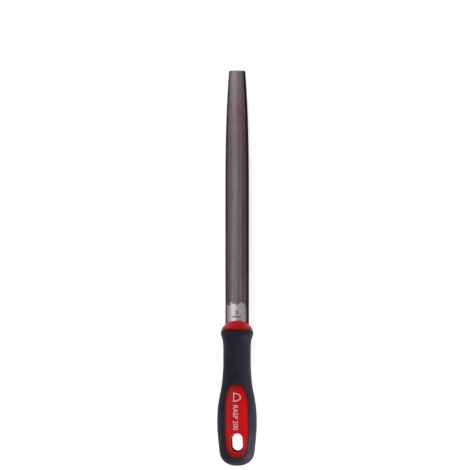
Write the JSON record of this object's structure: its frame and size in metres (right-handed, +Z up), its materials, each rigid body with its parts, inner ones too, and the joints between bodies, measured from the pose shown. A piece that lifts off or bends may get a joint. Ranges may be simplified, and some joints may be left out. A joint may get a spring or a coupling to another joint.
{
  "type": "wood rasp",
  "caption": "Half-round rasp for shaping wood: a toothed steel blade with a blunt tip, on a two-component handle with a domed nose and a hanging slot.",
  "frame": {"origin": "on the bench under the middle of the tool's box, with the tool lying convex face up on the collar's lip and the tip", "axes": "+Y from the handle towards the blade's tip, +Z up out of the convex face, +X to the right seen from above"},
  "size_m": [0.0316, 0.3148, 0.0289],
  "materials": {
    "blade_steel": "dull grey steel with rows of cut teeth, ground bright on the shoulder",
    "core_plastic": "moulded red plastic, satin gloss, with silver print on the window",
    "grip_rubber": "dark blue-grey soft grip, matt"
  },
  "bodies": {
    "root": {"rasp_blade": "blade_steel", "handle_core": "core_plastic", "grip_sleeve": "grip_rubber"}
  },
  "joints": []
}
